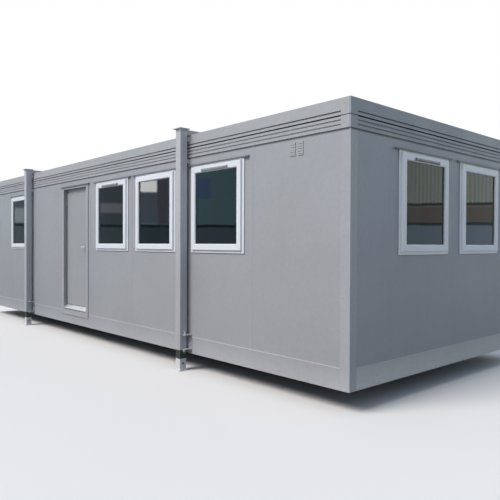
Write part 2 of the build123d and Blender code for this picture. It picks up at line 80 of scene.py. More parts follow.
DOOR_PLACE = -0.625
DOOR_WIDTH = 0.815
DOOR_TOP = 2.195
DOOR_BOTTOM = 0.228
FLANGE_SIDE = 0.07
FLANGE_HEAD = 2.235
FLANGE_FOOT = 0.139
FLANGE_SHEET = 0.012
DOOR_DRIP_OVERHANG = 0.038
LEAF_RECESS = 0.048
LEAF_BACK = 0.088
HINGE_HEIGHTS = [0.516, 1.246, 1.976]
HINGE_HALF = 0.055
HINGE_AXIS_IN = 0.0405
LEVER_HEIGHT = 1.25
LEVER_PLACE = -0.2865
PLATE_THICKNESS = 0.008
PLATE_MID = 1.1795
THRESHOLD_NOSE = (0.242, 0.012)
THRESHOLD_TOP = (0.296, -0.036)

JACK_X = 2.445
POST_Y = 1.909
POST_SIZE = 0.1
POST_TOP = 2.6603
BRACKET_BOTTOM = 0.05
BRACKET_TOP = 0.23
BRACKET_BACK = 0.008
GUSSET_HEIGHT = 0.07
GUSSET_WIDTH = 0.042
BEAM_SIZE = 0.06
LEG_SIZE = 0.088
FOOT_TOP = 0.01
PIN_HEIGHT = 0.2372
PIN_HALF = 0.078
PANEL_WIDTH = 1.22
FIRST_BOARD_LAP = 0.038
LEGS = {"front_left": (-1, -1), "front_right": (1, -1), "back_left": (-1, 1), "back_right": (1, 1)}


def side_matrix(x_axis, normal, origin):
    """A side of the body: x along it, y up and z outwards, from the middle of its bottom edge."""
    rows = Matrix((x_axis, (0, 0, 1), normal)).transposed().to_4x4()
    return Matrix.Translation(origin) @ rows


SIDES = {
    "front": side_matrix((1, 0, 0), (0, -1, 0), (0, -HALF_WIDTH, GROUND_GAP)),
    "back": side_matrix((-1, 0, 0), (0, 1, 0), (0, HALF_WIDTH, GROUND_GAP)),
    "right": side_matrix((0, 1, 0), (1, 0, 0), (HALF_LENGTH, 0, GROUND_GAP)),
    "left": side_matrix((0, -1, 0), (-1, 0, 0), (-HALF_LENGTH, 0, GROUND_GAP)),
}
SIDE_HALF = {"front": HALF_LENGTH, "back": HALF_LENGTH, "right": HALF_WIDTH, "left": HALF_WIDTH}


def at(x, y, z):
    return Matrix.Translation((x, y, z))


def turn(degrees, axis):
    return Matrix.Rotation(math.radians(degrees), 4, axis)


def on_side(side, across, height, out=0.0):
    """A place on a side: across from its middle, up from its bottom edge and out from its face."""
    return SIDES[side] @ at(across, height, out)


def evenly(count, first, last):
    """Even places from the first to the last one."""
    return [first + (last - first) * i / (count - 1) for i in range(count)]


# Camera, at the photograph's angle
CAMERA_PLACE = (7.855, -5.707, 1.497)
CAMERA_YAW = 47.81
CAMERA_PITCH = -0.56
CAMERA_ROLL = 0.21
CAMERA_LENS = 39.66
camera = bpy.data.objects.new("camera", bpy.data.cameras.new("camera"))
SCENE.collection.objects.link(camera)
camera.data.sensor_width = 36
camera.data.lens = CAMERA_LENS
camera.data.clip_end = 400
camera.matrix_world = (
    at(*CAMERA_PLACE) @ turn(CAMERA_YAW, "Z") @ turn(90 + CAMERA_PITCH, "X") @ turn(CAMERA_ROLL, "Z")
)
SCENE.camera = camera


# Materials

class Surface:
    """A node material with object coordinates, one principled shader and helpers to wire them."""

    def __init__(self, name, roughness=0.5, metallic=0.0, specular=0.5):
        self.material = bpy.data.materials.new(name)
        self.material.use_nodes = True
        self.tree = self.material.node_tree
        self.shader = self.tree.nodes["Principled BSDF"]
        self.set("Roughness", roughness)
        self.set("Metallic", metallic)
        self.set("Specular IOR Level", specular)
        self.place = self.node("ShaderNodeTexCoord").outputs["Object"]
        split = self.node("ShaderNodeSeparateXYZ")
        self.join(self.place, split.inputs[0])
        self.x, self.y, self.z = split.outputs

    def node(self, kind):
        return self.tree.nodes.new(kind)

    def join(self, source, target):
        if isinstance(source, (int, float)):
            target.default_value = source
        elif isinstance(source, tuple):
            target.default_value = (*source, 1.0) if len(source) == 3 and target.type == "RGBA" else source
        else:
            self.tree.links.new(source, target)

    def set(self, socket, value):
        self.shader.inputs[socket].default_value = value

    def into(self, socket, source):
        self.join(source, self.shader.inputs[socket])

    def show(self, shader):
        """Puts another shader in the place of the principled one."""
        self.join(shader, self.tree.nodes["Material Output"].inputs["Surface"])

    def math(self, kind, first, second=0.0):
        node = self.node("ShaderNodeMath")
        node.operation = kind
        self.join(first, node.inputs[0])
        self.join(second, node.inputs[1])
        return node.outputs[0]

    def times(self, *values):
        """The product of several values."""
        total = values[0]
        for value in values[1:]:
            total = self.math("MULTIPLY", total, value)
        return total

    def scaled(self, scale):
        """Object coordinates stretched by a factor on each axis."""
        node = self.node("ShaderNodeMapping")
        self.join(self.place, node.inputs["Vector"])
        node.inputs["Scale"].default_value = scale
        return node.outputs[0]

    def noise(self, scale, detail=3.0, stretch=(1, 1, 1), roughness=0.5, distortion=0.0):
        node = self.node("ShaderNodeTexNoise")
        self.join(self.scaled(stretch), node.inputs["Vector"])
        node.inputs["Scale"].default_value = scale
        node.inputs["Detail"].default_value = detail
        node.inputs["Roughness"].default_value = roughness
        node.inputs["Distortion"].default_value = distortion
        return node.outputs["Fac"]

    def cells(self, scale, stretch=(1, 1, 1)):
        node = self.node("ShaderNodeTexVoronoi")
        self.join(self.scaled(stretch), node.inputs["Vector"])
        node.inputs["Scale"].default_value = scale
        split = self.node("ShaderNodeSeparateColor")
        self.join(node.outputs["Color"], split.inputs[0])
        return split.outputs[0]

    def ramp(self, source, low, high, start=0.0, end=1.0):
        """A value that goes from start to end while the source goes from low to high."""
        node = self.node("ShaderNodeMapRange")
        node.interpolation_type = "SMOOTHSTEP"
        for value, target in zip((source, low, high, start, end), node.inputs):
            self.join(value, target)
        return node.outputs[0]

    def within(self, source, low, high, edge):
        """1 while the source lies between two limits and 0 elsewhere, with soft edges round the limits."""
        rise = self.ramp(source, low - edge, low + edge)
        return self.times(rise, self.ramp(source, high - edge, high + edge, 1.0, 0.0))

    def mix(self, amount, first, second, kind="MIX"):
        node = self.node("ShaderNodeMix")
        node.data_type = "RGBA"
        node.blend_type = kind
        self.join(amount, node.inputs[0])
        self.join(first, node.inputs[6])
        self.join(second, node.inputs[7])
        return node.outputs[2]

    def tint(self, base, factor, amount=1.0):
        """A colour multiplied by a factor, as far as the amount says."""
        return self.mix(amount, base, factor, "MULTIPLY")

    def bump(self, height, distance, strength=1.0, below=None):
        node = self.node("ShaderNodeBump")
        node.inputs["Strength"].default_value = strength
        node.inputs["Distance"].default_value = distance
        self.join(height, node.inputs["Height"])
        if below is not None:
            self.join(below, node.inputs["Normal"])
        return node.outputs[0]


def linear(red, green, blue):
    """A colour given in the usual 0 to 255 values, as the shaders take it."""
    out = []
    for value in (red, green, blue):
        share = value / 255
        out.append(share / 12.92 if share <= 0.04045 else ((share + 0.055) / 1.055) ** 2.4)
    return tuple(out)


def darker(colour, factor):
    return tuple(value * factor for value in colour)


WALL_GREY = linear(166, 167, 172)
DIRT = linear(98, 92, 82)
# Dirt and painted shade in the roof edge's flutes and joints; painted shadow under the cornice and painted shade in
# the door frame's reveal
GROOVE_DIRT_AND_SHADE = linear(60, 62, 65)
SHELF_DARK = linear(108, 110, 114)
# Painted highlight on the corners' eased upright edges
ARRIS_HIGHLIGHT = linear(214, 216, 220)
RUST = linear(112, 62, 34)
WHITE_RUST = linear(216, 216, 212)
LINING = linear(214, 213, 208)
# Factors on the colour of the paint or plastic under them, all of them painted light or painted shade: lighter on
# the long sides' roof edge and the ends' base rails, darker on the shaded ends and towards the left
SIDE_EDGE_PAINTED_LIGHT = (1.06, 1.05, 1.04)
END_EDGE_PAINTED_SHADE = (0.76, 0.79, 0.87)
END_WALL_PAINTED_SHADE = (0.87, 0.91, 0.99)
END_RAIL_PAINTED_LIGHT = (1.38, 1.40, 1.28)
END_HOOD_PAINTED_SHADE = (0.60, 0.62, 0.66)
LEFT_PAINTED_SHADE = (0.89, 0.94, 0.945)
# Middle height, half height and depth of tone of the dirt and painted shade in each flute and joint of the roof
# edge
GROOVES = [
    (2.482, 0.010, 0.38), (2.443, 0.010, 1.0), (2.404, 0.010, 0.20), (2.365, 0.010, 0.20), (2.327, 0.006, 0.9),
]
FLUTE_DEPTH = 0.014
WALL_TEXTURE = 0.006
# Painted highlight on the corners' eased upright edges: its width and strength
ARRIS_WIDTH = 0.0075
ARRIS_HIGHLIGHT_SHARE = 0.45
# Painted shadow under the cornice: its height and depth
CORNICE_SHADOW_STRIP = 0.022
CORNICE_SHADOW_DEPTH = 0.85


def recess(s):
    """How far a point lies inside the outer faces of the body."""
    across = s.math("SUBTRACT", HALF_LENGTH, s.math("ABSOLUTE", s.x))
    return s.math("MINIMUM", across, s.math("SUBTRACT", HALF_WIDTH, s.math("ABSOLUTE", s.y)))


def on_end(s, depth=0.0):
    """Whether a point lies outside the faces of the two ends, or less than a depth inside them."""
    return s.math("GREATER_THAN", s.math("ABSOLUTE", s.x), HALF_LENGTH - depth)


def on_arris(s):
    """Whether a point lies on the eased upright edge of a corner, which gets a pale painted highlight."""
    to_end = s.math("SUBTRACT", HALF_LENGTH, s.math("ABSOLUTE", s.x))
    to_side = s.math("SUBTRACT", HALF_WIDTH, s.math("ABSOLUTE", s.y))
    return s.math("LESS_THAN", s.math("ADD", to_end, to_side), ARRIS_WIDTH)


def shadow_under_cornice(s, base):
    """A painted shadow in a strip right under the cornice, where the cornice casts its shade."""
    top = GROUND_GAP + CORNICE_BOTTOM
    strip = s.times(s.ramp(s.z, top - CORNICE_SHADOW_STRIP, top - 0.005), s.math("LESS_THAN", s.z, top + 0.0005))
    return s.mix(s.times(strip, s.math("LESS_THAN", recess(s), 0.001), CORNICE_SHADOW_DEPTH), base, GROOVE_DIRT_AND_SHADE)


def roof_edge_light_and_shade(s, base):
    """Painted light and shade: the roof edge is lighter along the lit long sides and darker on the two shaded ends.
    """
    edge = s.math("GREATER_THAN", s.z, GROUND_GAP + CORNICE_BOTTOM)
    return s.tint(base, s.mix(on_end(s, FLUTE_DEPTH), SIDE_EDGE_PAINTED_LIGHT, END_EDGE_PAINTED_SHADE), edge)


def cornice_dirt_and_painted_light(s, base):
    """Dirt and painted shade in the flutes and joints of the roof edge, most of it in the joints, over the roof
    edge's painted light and shade and the painted shadow under the cornice, with a painted highlight on the eased
    corners.
    """
    shade = 0.0
    for height, half, share in GROOVES:
        off = s.math("ABSOLUTE", s.math("SUBTRACT", s.z, GROUND_GAP + height))
        shade = s.math("ADD", shade, s.math("MULTIPLY", s.math("LESS_THAN", off, half), share))
    base = roof_edge_light_and_shade(s, base)
    base = s.mix(s.times(s.ramp(recess(s), 0.0005, 0.0035), shade), shadow_under_cornice(s, base), GROOVE_DIRT_AND_SHADE)
    return s.mix(s.math("MULTIPLY", on_arris(s), ARRIS_HIGHLIGHT_SHARE), base, ARRIS_HIGHLIGHT)


def shaded_towards_left(s, base):
    """Painted shade: the paint grows a little darker towards the left end."""
    return s.tint(base, LEFT_PAINTED_SHADE, s.ramp(s.x, -3.5, 3.0, 1.0, 0.0))


def wall_faces(s, base):
    """Painted shade that darkens the paint low down, high on the shaded ends and towards the left, the painted
    shadow under the cornice, and a pale lining inside.
    """
    inside = s.math("GREATER_THAN", recess(s), WALL - 0.001)
    # Painted shade: darker towards the bottom
    dull = s.tint(base, s.ramp(s.z, 0.45, 2.2, 0.925, 1.0))
    # Painted shade high on the shaded ends
    dull = s.tint(dull, END_WALL_PAINTED_SHADE, s.times(on_end(s, WALL_TEXTURE), s.ramp(s.z, 0.8, 2.1)))
    return s.mix(inside, shadow_under_cornice(s, shaded_towards_left(s, dull)), LINING)


def rail_ends_painted_light(s, base):
    """Painted light: the base rails of the two ends are lighter than those of the long sides."""
    return shaded_towards_left(s, s.tint(base, END_RAIL_PAINTED_LIGHT, on_end(s, WALL_TEXTURE)))


def hood_painted_shade(s, base):
    """Painted shade: the vent hoods of the two ends are darker than those of the long sides."""
    return s.tint(base, END_HOOD_PAINTED_SHADE, on_end(s))


def frame_reveal_shade(s, base):
    """Painted shade: a door frame is darker in its reveal, which light doesn't reach."""
    return s.mix(s.times(s.ramp(recess(s), 0.0005, 0.006), 0.2), base, GROOVE_DIRT_AND_SHADE)


def drip_edge(s, base):
    """A flashing's shelf and lip are darker than the upstand on the wall."""
    return s.mix(s.ramp(recess(s), -0.008, -0.004, 1.0, 0.0), base, SHELF_DARK)


def post_shade(s, base):
    """Painted shade: a post is darker towards its foot."""
    return s.tint(base, s.ramp(s.z, 0.9, 2.4, 0.84, 1.0))


def painted(name, colour, roughness=0.42, dirt=0.5, rust=0.0, painted_bounce=0.14, places=None):
    """Paint on board or steel: soft tone changes, faint rain streaks, splash dirt and painted bounce light that
    makes the feet lighter.
    """
    s = Surface(name, roughness, specular=0.4)
    clouds = s.ramp(s.noise(0.8, 3), 0.3, 0.7)
    base = s.mix(clouds, darker(colour, 0.97), darker(colour, 1.03))
    base = s.tint(base, s.ramp(s.noise(26.0, 4, (1, 1, 1), 0.6), 0.35, 0.65, 0.975, 1.02))
    # Painted light: lighter near the ground, for light bounced up from it
    if painted_bounce:
        base = s.tint(base, s.ramp(s.z, GROUND_GAP, GROUND_GAP + 0.26, 1.0 + painted_bounce, 1.0))
    streaks = s.ramp(s.noise(8.0, 4, (1, 1, 0.06), 0.6), 0.52, 0.78)
    base = s.mix(s.math("MULTIPLY", streaks, 0.09 * dirt), base, DIRT)
    low = s.ramp(s.z, GROUND_GAP - 0.02, GROUND_GAP + 0.3, 1.0, 0.0)
    splash = s.ramp(s.noise(42.0, 5, (1, 1, 1), 0.7), 0.5, 0.62)
    base = s.mix(s.times(low, splash, 0.14 * dirt), base, DIRT)
    specks = s.ramp(s.noise(120.0, 2), 0.70, 0.78)
    base = s.mix(s.math("MULTIPLY", specks, 0.12 * dirt), base, DIRT)
    if rust:
        chips = s.ramp(s.noise(30.0, 5, (1, 1, 0.7), 0.65), 0.67, 0.72)
        near_ground = s.ramp(s.z, 0.3, 0.75, 1.0, 0.10)
        base = s.mix(s.times(chips, near_ground, rust), base, RUST)
    if places:
        base = places(s, base)
    s.into("Base Color", base)
    s.into("Roughness", s.ramp(s.noise(3.0, 5), 0.3, 0.7, roughness - 0.07, roughness + 0.09))
    waves = s.bump(s.noise(2.2, 2), 0.0022)
    s.into("Normal", s.bump(s.noise(420.0, 2), 0.00012, 0.7, waves))
    return s.material


def plastic(name, colour, roughness=0.3, tone=0.03, dust=0.10, unevenness=0.05, places=None):
    """Moulded plastic with a little dust, a fine skin and a roughness that varies by its unevenness."""
    s = Surface(name, roughness)
    tones = s.ramp(s.noise(1.7, 3), 0.3, 0.7)
    base = s.mix(tones, darker(colour, 1 - tone), darker(colour, 1 + tone * 0.4))
    dusty = s.ramp(s.noise(30.0, 5, (1, 1, 0.35), 0.65), 0.5, 0.8)
    base = s.mix(s.math("MULTIPLY", dusty, dust), base, DIRT)
    if places:
        base = places(s, base)
    s.into("Base Color", base)
    shine = s.ramp(s.noise(14.0, 3), 0.35, 0.65, roughness - unevenness, roughness + unevenness)
    s.into("Roughness", shine)
    s.into("Normal", s.bump(s.noise(700.0, 2), 0.00006, 0.6))
    return s.material


def metal(name, colour, roughness=0.35, brush=(1, 1, 1), brush_scale=60.0, tone=0.12, metallic=1.0):
    """Bare metal with a fine grain along one direction and a few dull patches."""
    s = Surface(name, roughness, metallic)
    grain = s.noise(brush_scale, 3, brush)
    base = s.mix(s.ramp(grain, 0.3, 0.7), darker(colour, 1 - tone), colour)
    dull = s.ramp(s.noise(11.0, 5), 0.52, 0.74)
    base = s.mix(s.math("MULTIPLY", dull, 0.3), base, darker(colour, 0.6))
    s.into("Base Color", base)
    s.into("Roughness", s.ramp(grain, 0.3, 0.7, roughness - 0.06, roughness + 0.12))
    s.into("Normal", s.bump(grain, 0.0002, 0.5))
    return s.material


def galvanised(name, zinc, leg=False):
    """Hot dipped zinc with its crystals. A leg keeps old green paint where it stays in the post."""
    s = Surface(name, 0.46, 0.5)
    spangle = s.cells(70.0, (1, 1, 0.7))
    base = s.mix(spangle, darker(zinc, 0.88 if leg else 0.78), zinc)
    white_rust = s.ramp(s.noise(12.0, 5), 0.5, 0.72)
    base = s.mix(s.math("MULTIPLY", white_rust, 0.45), base, WHITE_RUST)
    stains = s.ramp(s.noise(24.0, 5, (1, 1, 0.4), 0.65), 0.62, 0.74)
    base = s.mix(s.math("MULTIPLY", stains, 0.25 if leg else 0.45), base, RUST)
    metallic = s.ramp(white_rust, 0.0, 1.0, 0.06 if leg else 0.55, 0.03 if leg else 0.25)
    if leg:
        edge = s.math("ADD", s.z, s.math("MULTIPLY", s.noise(30.0, 3), 0.02))
        painted_part = s.ramp(edge, 0.146, 0.156)
        green = s.mix(s.noise(20.0, 4), linear(38, 46, 40), linear(66, 72, 62))
        base = s.mix(painted_part, base, green)
        metallic = s.math("MULTIPLY", metallic, s.math("SUBTRACT", 1.0, painted_part))
    s.into("Base Color", base)
    s.into("Metallic", metallic)
    s.into("Roughness", s.ramp(s.noise(18.0, 4), 0.3, 0.7, 0.38, 0.62))
    s.into("Normal", s.bump(s.noise(160.0, 3), 0.0003, 0.6))
    return s.material


def glass(name):
    """Sealed glass over a dark room, with a thin dust film."""
    s = Surface(name, 0.03, 0.0, 0.5)
    film = s.ramp(s.noise(2.4, 5, (1, 1, 0.5)), 0.45, 0.8)
    s.into("Base Color", s.mix(film, linear(50, 60, 64), linear(66, 78, 80)))
    s.set("Transmission Weight", 1.0)
    s.set("IOR", 1.45)
    s.into("Roughness", s.ramp(film, 0.0, 1.0, 0.0, 0.05))
    s.into("Normal", s.bump(s.noise(1.3, 2), 0.0016, 0.5))
    return s.material


def floor_board(name):
    """Dark sheet flooring with a fine fleck and worn places."""
    s = Surface(name, 0.6)
    fleck = s.ramp(s.noise(240.0, 2), 0.45, 0.62)
    base = s.mix(fleck, linear(70, 71, 74), linear(96, 97, 99))
    worn = s.ramp(s.noise(1.5, 5), 0.45, 0.75)
    base = s.mix(s.math("MULTIPLY", worn, 0.4), base, linear(120, 116, 108))
    s.into("Base Color", base)
    s.into("Normal", s.bump(s.noise(240.0, 2), 0.0004, 0.6))
    return s.material


def timber(name, colour):
    """Sawn softwood with its grain along Y."""
    s = Surface(name, 0.75)
    grain = s.noise(38.0, 6, (1, 0.06, 1), 0.6, 0.6)
    base = s.mix(s.ramp(grain, 0.3, 0.7), darker(colour, 0.62), colour)
    knots = s.ramp(s.noise(5.0, 3, (1, 0.5, 1)), 0.66, 0.74)
    base = s.mix(s.math("MULTIPLY", knots, 0.5), base, darker(colour, 0.35))
    s.into("Base Color", base)
    s.into("Normal", s.bump(grain, 0.0008, 0.6))
    return s.material


def roof_felt(name):
    """Mineral roof covering with ponding marks and moss."""
    s = Surface(name, 0.85)
    grit = s.noise(900.0, 2)
    base = s.mix(s.ramp(grit, 0.35, 0.65), linear(92, 95, 98), linear(132, 134, 134))
    ponds = s.ramp(s.noise(0.8, 5, (1, 1, 1), 0.55), 0.48, 0.62)
    base = s.mix(s.math("MULTIPLY", ponds, 0.35), base, linear(82, 80, 72))
    moss = s.ramp(s.noise(3.5, 6, (1, 1, 1), 0.7), 0.62, 0.74)
    base = s.mix(s.math("MULTIPLY", moss, 0.4), base, linear(74, 82, 58))
    s.into("Base Color", base)
    s.into("Normal", s.bump(grit, 0.0008, 0.8))
    return s.material


MATERIALS = {
    "wall_paint": painted("wall_paint", WALL_GREY, 0.42, 0.5, places=wall_faces),
    "edge_paint": painted("edge_paint", linear(168, 170, 175), 0.40, 0.5, places=cornice_dirt_and_painted_light),
    "rail_paint": painted("rail_paint", linear(161, 161, 167), 0.38, 0.8, rust=0.2, painted_bounce=0.24, places=rail_ends_painted_light),
    # Pale trim: partly a painted highlight along the seam over the base rails
    "trim_paint_and_highlight": painted("trim_paint_and_highlight", linear(192, 193, 197), 0.38, 0.5, painted_bounce=0),
    "drip_paint": painted("drip_paint", WALL_GREY, 0.45, 1.0, places=drip_edge),
    "post_paint": painted("post_paint", linear(189, 191, 196), 0.36, 0.8, rust=0.3, painted_bounce=0, places=post_shade),
    "frame_paint": painted("frame_paint", WALL_GREY, 0.40, 0.5, places=frame_reveal_shade),
    "door_paint": painted("door_paint", linear(160, 162, 166), 0.36, 0.5),
    "window_white": plastic("window_white", linear(230, 234, 240), 0.3, 0.006, 0.0, 0.02),
    "mitre_white": plastic("mitre_white", linear(204, 208, 213), 0.3, 0.02, 0.1),
    "vent_plastic": plastic("vent_plastic", linear(172, 174, 178), 0.5, 0.04, 0.15),
    "trickle_grey": plastic("trickle_grey", linear(128, 133, 136), 0.45, 0.05, 0.2, places=hood_painted_shade),
    "rubber": plastic("rubber", linear(24, 25, 27), 0.6, 0.1, 0.15),
    "glazing_seal": plastic("glazing_seal", linear(86, 89, 93), 0.6, 0.08, 0.15),
    # Pale seal colour: painted light that lightens the shade in the gap between sash and frame
    "sash_seal": plastic("sash_seal", linear(196, 200, 206), 0.6, 0.06, 0.1),
    "sealant": plastic("sealant", linear(150, 152, 157), 0.55, 0.05, 0.25),
    "panel_joint": plastic("panel_joint", linear(160, 161, 166), 0.5, 0.04, 0.2),
    "mill_aluminium": metal("mill_aluminium", linear(232, 233, 234), 0.30, (0.05, 1, 1), 220.0),
    "lever_metal": metal("lever_metal", linear(228, 230, 233), 0.36, (1, 1, 0.1), 300.0, 0.06, 0.3),
    "plate_metal": metal("plate_metal", linear(196, 199, 202), 0.38, (1, 1, 0.1), 300.0, 0.06, 0.3),
    "zinc": galvanised("zinc", linear(208, 211, 212)),
    "hinge_zinc": galvanised("hinge_zinc", linear(158, 160, 163)),
    "leg_zinc": galvanised("leg_zinc", linear(224, 226, 229), leg=True),
    "glazing": glass("glazing"),
    "floor_board": floor_board("floor_board"),
    "joist_timber": timber("joist_timber", linear(150, 128, 96)),
    "ceiling_board": plastic("ceiling_board", linear(222, 221, 216), 0.6, 0.03, 0.05),
    "roof_felt": roof_felt("roof_felt"),
}
NODE_MATERIAL = {
    "wall_paint": "front_wall_left front_wall_right front_wall_over_door back_wall right_end_wall left_end_wall",
    "edge_paint": "corner_posts cornice_corners fascia_corners cornice_rails fascia_rails",
    "rail_paint": "base_rails",
    "drip_paint": "drip_flashings",
    "post_paint": "jack_posts post_caps roof_beams jack_brackets jack_cleats",
    "door_paint": "door_leaf",
    "frame_paint": "door_frame",
    "window_white": "window_frames window_sashes",
    "vent_plastic": "wall_vents",
    "trickle_grey": "trickle_vents",
    "mill_aluminium": "threshold",
    "lever_metal": "lever_handle",
    "plate_metal": "handle_plates",
    "hinge_zinc": "hinge_frame_halves hinge_leaf_halves",
    "glazing": "window_glass",
    "floor_board": "floor_deck",
    "joist_timber": "floor_joists",
    "ceiling_board": "ceiling",
    "roof_felt": "roof_sheet",
}
JACK_MATERIAL = {"leg": "leg_zinc", "pin": "zinc", "foot": "leg_zinc"}


def dress(node_name, material):
    slots = NODES[node_name].data.materials
    slots.clear()
    slots.append(MATERIALS[material])


for material, names in NODE_MATERIAL.items():
    for name in names.split():
        dress(name, material)
for leg_name in LEGS:
    for piece, material in JACK_MATERIAL.items():
        dress(f"jack_{piece}_{leg_name}", material)


# Added pieces

class Pile:
    """Shapes gathered in one mesh."""

    def __init__(self):
        self.verts = []
        self.faces = []

    def add(self, shape, matrix=Matrix.Identity(4)):
        verts, faces = shape
        start = len(self.verts)
        self.verts.extend(matrix @ Vector(v) for v in verts)
        self.faces.extend(tuple(start + i for i in face) for face in faces)

    def piece(self, name, body, material, slot):
        mesh = bpy.data.meshes.new(name)
        mesh.from_pydata([tuple(v) for v in self.verts], [], self.faces)
        mesh.materials.append(MATERIALS[material])
        mesh.update()
        made = bpy.data.objects.new(name, mesh)
        SCENE.collection.objects.link(made)
        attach(made, body)


def block(size_x, size_y, size_z, bevel):
    """A bar with all its edges eased, centred on its own origin."""
    work = bmesh.new()
    bmesh.ops.create_cube(work, size=1)
    bmesh.ops.scale(work, vec=(size_x, size_y, size_z), verts=work.verts)
    bmesh.ops.bevel(work, geom=work.edges[:], offset=bevel, segments=2, affect="EDGES", profile=0.6)
    shape = [v.co.copy() for v in work.verts], [tuple(v.index for v in f.verts) for f in work.faces]
    work.free()
    return shape


def circle(sides):
    """The cosine and sine of even steps round a circle."""
    angles = [2 * math.pi * i / sides for i in range(sides)]
    return [(math.cos(angle), math.sin(angle)) for angle in angles]


def sheath(rows, sides, closed=False):
    """Faces between rows of points that each go round, and from the last row to the first if closed."""
    faces = []
    for row in range(rows if closed else rows - 1):
        below, above = row * sides, (row + 1) % rows * sides
        for i in range(sides):
            after = (i + 1) % sides
            faces.append((below + i, below + after, above + after, above + i))
    return faces


def capped(rows, sides):
    """The same faces with one more at each end."""
    return sheath(rows, sides) + [tuple(range(sides - 1, -1, -1)), tuple(range((rows - 1) * sides, rows * sides))]


def turned(profile, sides):
    """A shape turned round Z from (radius, height) points, closed at both ends."""
    verts = [(radius * cos, radius * sin, height) for radius, height in profile for cos, sin in circle(sides)]
    return verts, capped(len(profile), sides)


def ring(width, height, border, depth, slope):
    """A rectangular frame in XY that stands up in Z, with its front edges sloped."""
    verts = []
    outer = (width / 2, height / 2)
    inner = (width / 2 - border, height / 2 - border)
    loops = [
        (outer, 0.0), (outer, depth - slope),
        ((outer[0] - slope, outer[1] - slope), depth), ((inner[0] + slope, inner[1] + slope), depth),
        (inner, depth - slope), (inner, 0.0),
    ]
    for (half_x, half_y), z in loops:
        verts.extend([(-half_x, -half_y, z), (half_x, -half_y, z), (half_x, half_y, z), (-half_x, half_y, z)])
    return verts, sheath(len(loops), 4, closed=True)


def tube(points, radii, sides, closed=False):
    """A round bar through a line of points, with a radius at each of them."""
    points = [Vector(p) for p in points]
    count = len(points)
    verts = []
    across = None
    for i, point in enumerate(points):
        before = points[i - 1] if closed or i else point
        after = points[(i + 1) % count] if closed or i < count - 1 else point
        along = (after - before).normalized()
        if across is None:
            across = along.orthogonal().normalized()
        across = (across - along * across.dot(along)).normalized()
        other = along.cross(across)
        verts.extend(point + radii[i] * (cos * across + sin * other) for cos, sin in circle(sides))
    return verts, sheath(count, sides, closed=True) if closed else capped(count, sides)


WELD_STEP = 0.004
WELD_RIPPLE = (1.0, 0.88, 0.80)


def weld(corners, radius, closed=False):
    """A rippled weld bead along straight runs between corners."""
    corners = [Vector(c) for c in corners]
    ends = corners[1:] + corners[:1] if closed else corners[1:]
    points = []
    for start, end in zip(corners, ends):
        steps = max(2, round((end - start).length / WELD_STEP))
        points.extend(start.lerp(end, i / steps) for i in range(steps))
    if not closed:
        points.append(corners[-1])
    radii = [radius * WELD_RIPPLE[i % len(WELD_RIPPLE)] for i in range(len(points))]
    if not closed:
        radii[0] = radii[-1] = radius * 0.5
    return tube(points, radii, 8, closed)


def square(half, z):
    return [(-half, -half, z), (half, -half, z), (half, half, z), (-half, half, z)]


def pan_screw(radius, height):
    """A domed screw head with a recess in its middle, standing on z = 0."""
    profile = [
        (radius, 0), (radius * 0.96, height * 0.45), (radius * 0.72, height * 0.85),
        (radius * 0.45, height), (radius * 0.28, height * 0.55),
    ]
    return turned(profile, 12)


def hex_bolt(across, height, washer):
    """A hexagon head on a round washer, standing on z = 0."""
    pile = Pile()
    pile.add(turned([(washer, 0), (washer, 0.0018), (washer - 0.0008, 0.0025)], 20))
    head = [(across * 0.577, 0.0025), (across * 0.577, height * 0.85), (across * 0.5, height)]
    pile.add(turned(head, 6))
    return pile.verts, pile.faces


# Sealed joints between the wall boards
LONG_SIDE_JOINTS = 7
joints = Pile()
joint_bottom, joint_top = RAIL_TOP, CORNICE_BOTTOM - 0.001
joint_line = block(0.010, joint_top - joint_bottom, 0.0015, 0.0005)
for side, half in SIDE_HALF.items():
    if half == HALF_LENGTH:
        mirrored = -1 if side == "back" else 1
        places = [mirrored * (half - FIRST_BOARD_LAP - PANEL_WIDTH * (i + 1)) for i in range(LONG_SIDE_JOINTS)]
    else:
        places = [-PANEL_WIDTH, 0.0, PANEL_WIDTH]
    for place in places:
        joints.add(joint_line, on_side(side, place, (joint_bottom + joint_top) / 2))
joints.piece("panel_joints", "cabin", "panel_joint", "wall_panel")

# Thin trim on the seam between the walls and the base rails, whose pale colour is partly a painted highlight along
# the seam
trims = Pile()
for side, half in SIDE_HALF.items():
    trims.add(block(2 * (half - CORNER), 0.010, 0.004, 0.0012), on_side(side, 0, RAIL_TOP))
trims.piece("base_rail_trims", "cabin", "trim_paint_and_highlight", "steel_trim")

# Screws in the corner posts and the corner blocks over them
CORNER_SCREW_IN = 0.07
CORNER_SCREW_HEIGHTS = evenly(8, 0.28, 2.205) + [CORNICE_BOTTOM + 0.06, BODY_TOP - 0.05]
screws = Pile()
corner_screw = pan_screw(0.0065, 0.0028)
for side, half in SIDE_HALF.items():
    for end in (-1, 1):
        for height in CORNER_SCREW_HEIGHTS:
            screws.add(corner_screw, on_side(side, end * (half - CORNER_SCREW_IN), height))
screws.piece("corner_screws", "cabin", "rail_paint", "steel_trim")

